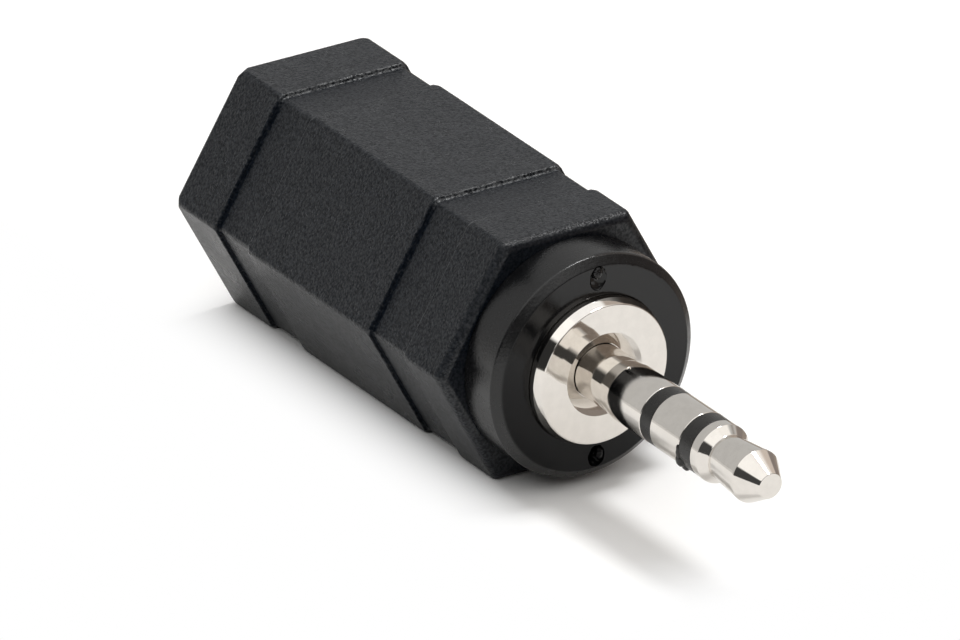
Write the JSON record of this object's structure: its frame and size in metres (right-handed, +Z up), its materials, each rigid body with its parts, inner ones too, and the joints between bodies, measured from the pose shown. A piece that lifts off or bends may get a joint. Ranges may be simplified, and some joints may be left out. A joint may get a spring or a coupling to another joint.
{
  "type": "audio jack adapter",
  "caption": "Hexagonal black plastic adapter with a 3.5 mm stereo socket in one end and a 2.5 mm stereo plug standing out of a round collar at the other.",
  "frame": {"origin": "under the middle of the whole length, on the surface that the hexagonal body lies on", "axes": "+X along the plug, towards its tip; +Z up, square to the flat that the body lies on"},
  "size_m": [0.0332, 0.012, 0.0104],
  "materials": {
    "housing_plastic": "fine spark-eroded grain, black",
    "collar_plastic": "smooth satin black",
    "plated_metal": "bright nickel plate over fine turning marks",
    "insulator_plastic": "black, half gloss",
    "tinned_brass": "bright punched strip",
    "washer_board": "punched laminate board",
    "carrier_plastic": "plain black moulding",
    "spring_bronze": "rolled spring strip",
    "solder": "shiny solder"
  },
  "bodies": {
    "root": {"hex_shell": "housing_plastic", "plug_collar": "collar_plastic", "shoulder_ring": "plated_metal", "plug_sleeve": "plated_metal", "sleeve_insulator": "insulator_plastic", "plug_ring": "plated_metal", "ring_insulator": "insulator_plastic", "plug_tip": "plated_metal", "sleeve_lug": "tinned_brass", "ring_washer": "washer_board", "ring_lug": "tinned_brass", "tip_washer": "washer_board", "tip_lug": "tinned_brass", "socket_carrier": "carrier_plastic", "socket_bush": "plated_metal", "bush_tag": "tinned_brass", "ring_spring": "spring_bronze", "tip_spring": "spring_bronze", "sleeve_joint": "solder", "ring_joint": "solder", "tip_joint": "solder"}
  },
  "joints": []
}
